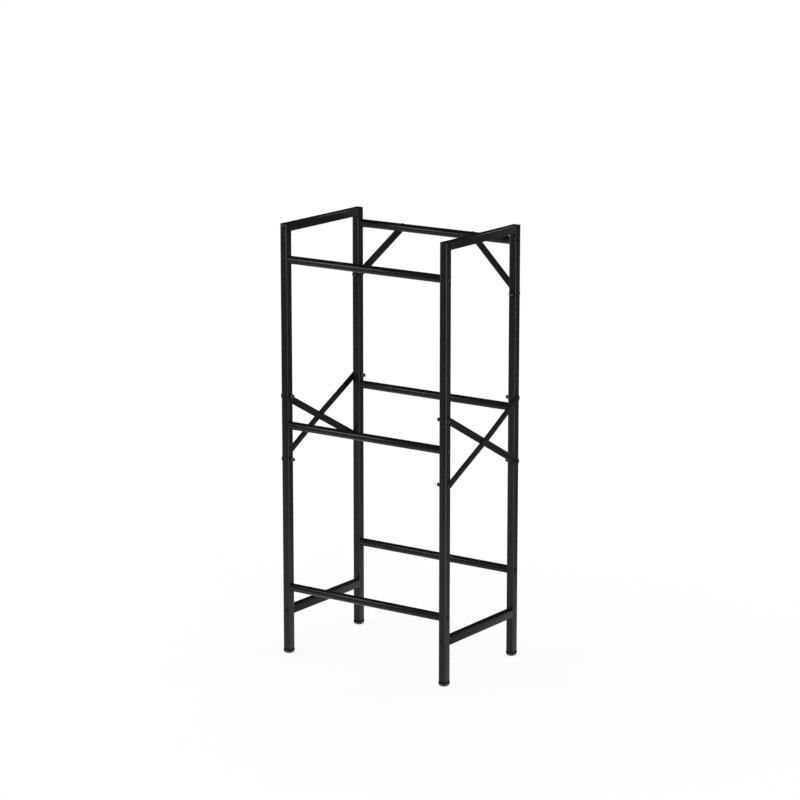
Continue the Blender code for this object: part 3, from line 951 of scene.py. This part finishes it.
class CRATERACK_OT_side_rails(bpy.types.Operator):
    """Model the four square rails that join the front uprights to the rear ones"""

    bl_idname = "crate_rack.side_rails"
    bl_label = "Side Rails"

    def execute(self, context):
        """Model one rail, then copy it to its four places."""
        start = "lower_side_rail_left"
        master = plugged_side_rail("rail", start)
        for level in ("lower", "top"):
            for side in SIDES:
                node = f"{level}_side_rail_{side}"
                piece = copy_to(master, f"coated_{node}", moved(start, node))
                fit_piece(piece, "powder_coat", node)
        scrap(master)
        return {"FINISHED"}


class CRATERACK_OT_crate_rails(bpy.types.Operator):
    """Model the six round rails that crates lie on"""

    bl_idname = "crate_rack.crate_rails"
    bl_label = "Crate Rails"

    def execute(self, context):
        """Model one rail, copy it to its six places, and press two sleeves into the top rear one."""
        master = plugged_round_rail("rail", "front_rail_bottom")
        start = centre_of("front_rail_bottom")
        for row in ROWS:
            for tier in TIERS:
                node = f"{row}_rail_{tier}"
                goal = centre_of(node)
                if node == "rear_rail_top":
                    goal.y = centre_of("rear_rail_middle").y
                place = Matrix.Translation(goal - start)
                piece = copy_to(master, f"coated_{node}", place)
                if node == "rear_rail_top":
                    self.press_sleeves(piece)
                fit_piece(piece, "powder_coat", node)
        scrap(master)
        return {"FINISHED"}

    def press_sleeves(self, piece):
        """Press two threaded sleeves into the back of a rail, for the knee braces' upper bolts."""
        back = box_of("rear_rail_middle")[1].y
        depth = settings().tubes.sleeve
        width = settings().fasteners.bolt * 1.5
        for side in SIDES:
            bolt = centre_of(f"knee_bolt_upper_{side}")
            centre = (bolt.x, back - depth / 2, bolt.z)
            apply_boolean(piece, leave(rod("sleeve", centre, width, depth, Y_AXIS, 32)), "UNION")
            drill(piece, centre, Y_AXIS, hole_width(), depth + OVERRUN)


class CRATERACK_OT_side_braces(bpy.types.Operator):
    """Model the crossed strips on both sides: a straight one, and one bowed out over it"""

    bl_idname = "crate_rack.side_braces"
    bl_label = "Side Braces"

    def execute(self, context):
        """Model both strips, then copy them to both sides."""
        low = centre_of("brace_bolt_low_front_left")
        high = centre_of("brace_bolt_high_rear_left")
        run = high.y - low.y
        rise = high.z - low.z
        straight = flat_strip("straight", math.hypot(run, rise))
        bowed = flat_strip("bowed", math.hypot(run, rise), 32)
        half_thickness = settings().strips.thickness / 2
        for side, hand in SIDES.items():
            inner_low, inner_high, _, _ = box_of(f"side_brace_inner_{side}")
            seat = inner_low.x if hand > 0 else inner_high.x
            origin = (seat + hand * half_thickness, 0, (low.z + high.z) / 2)
            for kind, master, slope in (("inner", straight, -rise), ("outer", bowed, rise)):
                node = f"side_brace_{kind}_{side}"
                place = placed(origin, (hand, 0, 0), (0, run, slope))
                fit_piece(copy_to(master, f"coated_{node}", place), "powder_coat", node)
        scrap(straight, bowed)
        return {"FINISHED"}


class CRATERACK_OT_knee_braces(bpy.types.Operator):
    """Model the short sloping strips behind the top rear rail"""

    bl_idname = "crate_rack.knee_braces"
    bl_label = "Knee Braces"

    def execute(self, context):
        """Model one strip, then copy it to both corners."""
        low = centre_of("knee_bolt_lower_left")
        high = centre_of("knee_bolt_upper_left")
        master = flat_strip("strip", math.hypot(high.x - low.x, high.z - low.z))
        for side in SIDES:
            node = f"knee_brace_{side}"
            low = centre_of(f"knee_bolt_lower_{side}")
            high = centre_of(f"knee_bolt_upper_{side}")
            place = placed(centre_of(node), Y_AXIS, high - low)
            fit_piece(copy_to(master, f"coated_{node}", place), "powder_coat", node)
        scrap(master)
        return {"FINISHED"}


class CRATERACK_OT_rail_bolts(bpy.types.Operator):
    """Model the bolts that hold the round rails and the side rails"""

    bl_idname = "crate_rack.rail_bolts"
    bl_label = "Rail Bolts"

    def execute(self, context):
        """Model one bolt, then copy it to its twenty places."""
        reach = size_of("rail_bolt_front_top_left").x - settings().fasteners.head_height
        master = domed_bolt("bolt", reach)
        for row, depth in ROWS.items():
            for side, hand in SIDES.items():
                for tier in TIERS:
                    set_bolt(master, f"rail_bolt_{row}_{tier}_{side}", hand * X_AXIS)
                for level in ("lower", "top"):
                    set_bolt(master, f"side_rail_bolt_{level}_{row}_{side}", depth * Y_AXIS)
        scrap(master)
        return {"FINISHED"}


class CRATERACK_OT_brace_bolts(bpy.types.Operator):
    """Model the bolts of the braces, with the dome nuts on ten of them"""

    bl_idname = "crate_rack.brace_bolts"
    bl_label = "Brace Bolts"

    def execute(self, context):
        """Model a long bolt, a nut and a short bolt, then copy them to their places."""
        fasteners = settings().fasteners
        grip = size_of("brace_bolt_low_front_left").x - fasteners.head_height - fasteners.nut_height
        long_bolt = domed_bolt("long_bolt", grip + fasteners.nut_hexagon + fasteners.bolt / 2)
        nut = dome_nut("nut", -grip)
        short_reach = size_of("knee_bolt_upper_left").y - fasteners.head_height
        short_bolt = domed_bolt("short_bolt", short_reach)
        for side, hand in SIDES.items():
            for row in ROWS:
                for level in ("low", "high"):
                    node = f"brace_bolt_{level}_{row}_{side}"
                    set_bolt(long_bolt, node, hand * X_AXIS, nut)
            set_bolt(long_bolt, f"knee_bolt_lower_{side}", Y_AXIS, nut)
            set_bolt(short_bolt, f"knee_bolt_upper_{side}", Y_AXIS)
        scrap(long_bolt, nut, short_bolt)
        return {"FINISHED"}


class CRATERACK_OT_feet(bpy.types.Operator):
    """Model the plastic feet under the uprights"""

    bl_idname = "crate_rack.feet"
    bl_label = "Feet"

    def execute(self, context):
        """Model one foot, then copy it to each corner."""
        set_at_corners(barbed_foot("foot"), "foot", 0)
        return {"FINISHED"}


class CRATERACK_OT_top_plugs(bpy.types.Operator):
    """Model the plastic plugs in the tops of the uprights"""

    bl_idname = "crate_rack.top_plugs"
    bl_label = "Top Plugs"

    def execute(self, context):
        """Model one plug, then copy it to each corner."""
        set_at_corners(tube_plug("plug"), "top_plug", 1)
        return {"FINISHED"}


class CRATERACK_OT_studio(bpy.types.Operator):
    """Set up the floor, the room, the lamps and the camera"""

    bl_idname = "crate_rack.studio"
    bl_label = "Studio"

    def execute(self, context):
        """Build the studio round the rack."""
        self.lay_floor()
        self.paint_room()
        self.hang_lamps()
        self.set_camera(context.scene)
        context.scene.view_settings.view_transform = "Standard"
        return {"FINISHED"}

    def lay_floor(self):
        """A round white floor that keeps the rack's shadow and fades to the white of the room; in gloss
        it glows as a painted pool of light that dims away from the pool point.
        """
        studio = settings().studio
        thick = 0.004
        floor = rod("studio_floor", (0, 0, -thick / 2), 2 * studio.floor, thick, Z_AXIS, 96)
        pick_rim(floor, Z_AXIS)
        bevel(thick / 4, 2)
        leave(floor)
        material, nodes, place = new_finish("white_floor")
        camera, gloss = seen(nodes)
        reach = nodes.add("ShaderNodeVectorMath", {"operation": "LENGTH"}, {0: place}, 1)
        away = nodes.ramp(reach * 0.5, (0.15, 0.0), (0.75, 1.0))
        # Painted pool of light: in gloss the floor's glow falls from white near the pool point to the
        # backdrop level far from it.
        pool = nodes.add(
            "ShaderNodeVectorMath", {"operation": "DISTANCE"}, {0: place, 1: studio.pool}, 1)
        painted_pool_fade = nodes.ramp(pool * 0.25, (0.12, 0.0), (0.62, 1.0))
        tone = studio.floor_tone
        matt = nodes.add("ShaderNodeBsdfDiffuse", None, {"Color": (tone, tone, tone, 1)})
        lit = nodes.glow("ShaderNodeEmission", 1.0)
        dim = nodes.glow("ShaderNodeEmission", studio.backdrop)
        shown = nodes.mix(gloss * painted_pool_fade, lit, dim)
        part = (camera + gloss) * (0.85 + away * 0.15)
        nodes.add("ShaderNodeOutputMaterial", None, {"Surface": nodes.mix(part, matt, shown)})
        floor.data.materials.append(material)

    def paint_room(self):
        """A white room to the camera; in gloss it is dim, and dimmer overhead than low down."""
        studio = settings().studio
        world = bpy.data.worlds.new("white_room")
        bpy.context.scene.world = world
        nodes = Nodes(world)
        camera, gloss = seen(nodes)
        direction = nodes.add("ShaderNodeTexCoord", output=0)
        height = nodes.add("ShaderNodeSeparateXYZ", None, {0: direction}, 2)
        low = nodes.ramp(height * 0.5 + 0.5, (0.49, 1.0), (0.51, 0.0))
        white, backdrop, ceiling, room = [
            nodes.glow("ShaderNodeBackground", level)
            for level in (1.0, studio.backdrop, studio.ceiling, studio.room)]
        mirrored = nodes.mix(low, ceiling, backdrop)
        light = nodes.mix(camera, nodes.mix(gloss, room, mirrored), white)
        nodes.add("ShaderNodeOutputWorld", None, {"Surface": light})

    def hang_lamps(self):
        """Broad lamps at the front left and behind, and narrow ones that light the right corners."""
        middle = centre_of("upright_front_left").z
        self.soft_box("front", middle, azimuth=-43, distance=2.6, size=(1.3, 0.8), power=24, rise=26)
        self.soft_box("rear", middle, azimuth=165, distance=2.8, size=(1.4, 1.0), power=17, rise=35)
        corner = self.soft_box("corner", 0.59, azimuth=57, distance=0.513, size=(0.32, 1.2), power=4.2)
        side = self.soft_box("side", 0.70, azimuth=82, distance=0.6, size=(0.16, 0.9), power=1.5)
        corner.visible_diffuse = False
        side.visible_diffuse = False

    def soft_box(self, name, height, azimuth, distance, size, power, rise=0):
        """A soft box that looks at the rack's axis; azimuth 0 is in front, 90 at the right."""
        turn = math.radians(azimuth)
        tilt = math.radians(rise)
        back = Vector((math.sin(turn) * math.cos(tilt), -math.cos(turn) * math.cos(tilt),
                       math.sin(tilt)))
        light = bpy.data.lights.new(f"{name}_soft_box", "AREA")
        light.shape = "RECTANGLE"
        light.size, light.size_y = size
        light.energy = power
        lamp = bpy.data.objects.new(f"{name}_soft_box", light)
        lamp.location = Vector((0, 0, height)) + back * distance
        lamp.rotation_mode = "QUATERNION"
        lamp.rotation_quaternion = back.to_track_quat("Z", "Y")
        lamp.visible_camera = False
        bpy.context.scene.collection.objects.link(lamp)
        return lamp

    def set_camera(self, scene):
        """The camera, at the picture's viewing angle."""
        studio = settings().studio
        eye = bpy.data.cameras.new("camera")
        eye.lens = studio.lens
        eye.sensor_width = 36
        camera = bpy.data.objects.new("camera", eye)
        camera.location = studio.camera
        camera.rotation_euler = (math.pi / 2 - studio.tilt, 0, studio.turn)
        scene.collection.objects.link(camera)
        scene.camera = camera


PIECE_OPERATORS = (
    CRATERACK_OT_uprights,
    CRATERACK_OT_side_rails,
    CRATERACK_OT_crate_rails,
    CRATERACK_OT_side_braces,
    CRATERACK_OT_knee_braces,
    CRATERACK_OT_rail_bolts,
    CRATERACK_OT_brace_bolts,
    CRATERACK_OT_feet,
    CRATERACK_OT_top_plugs,
    CRATERACK_OT_studio,
)


class CRATERACK_PT_rack(bpy.types.Panel):
    """Lists the rack's operators and settings"""

    bl_idname = "CRATERACK_PT_rack"
    bl_label = "Crate Rack"
    bl_space_type = "VIEW_3D"
    bl_region_type = "UI"
    bl_category = "Crate Rack"

    def draw(self, context):
        """Draw a button for each operator, then the settings."""
        column = self.layout.column(align=True)
        for operator in PIECE_OPERATORS:
            column.operator(operator.bl_idname)
        rack = context.scene.crate_rack
        for group in ("tubes", "strips", "fasteners", "plastics", "finishes", "studio"):
            values = getattr(rack, group)
            part = self.layout.box().column(align=True)
            part.label(text=group.capitalize())
            for name in type(values).__annotations__:
                part.prop(values, name)


CLASSES = (
    RackTubes,
    RackStrips,
    RackFasteners,
    RackPlastics,
    RackFinishes,
    RackStudio,
    RackSettings,
    *PIECE_OPERATORS,
    CRATERACK_PT_rack,
)


def register():
    """Register the classes, and the settings on the scene."""
    for item in CLASSES:
        bpy.utils.register_class(item)
    bpy.types.Scene.crate_rack = bpy.props.PointerProperty(type=RackSettings)


def unregister():
    """Remove the settings and the classes."""
    del bpy.types.Scene.crate_rack
    for item in reversed(CLASSES):
        bpy.utils.unregister_class(item)


def main():
    """Model the rack and its studio."""
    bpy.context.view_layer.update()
    register()
    bpy.ops.crate_rack.uprights()
    bpy.ops.crate_rack.side_rails()
    bpy.ops.crate_rack.crate_rails()
    bpy.ops.crate_rack.side_braces()
    bpy.ops.crate_rack.knee_braces()
    bpy.ops.crate_rack.rail_bolts()
    bpy.ops.crate_rack.brace_bolts()
    bpy.ops.crate_rack.feet()
    bpy.ops.crate_rack.top_plugs()
    bpy.ops.crate_rack.studio()


if __name__ == "__main__":
    main()
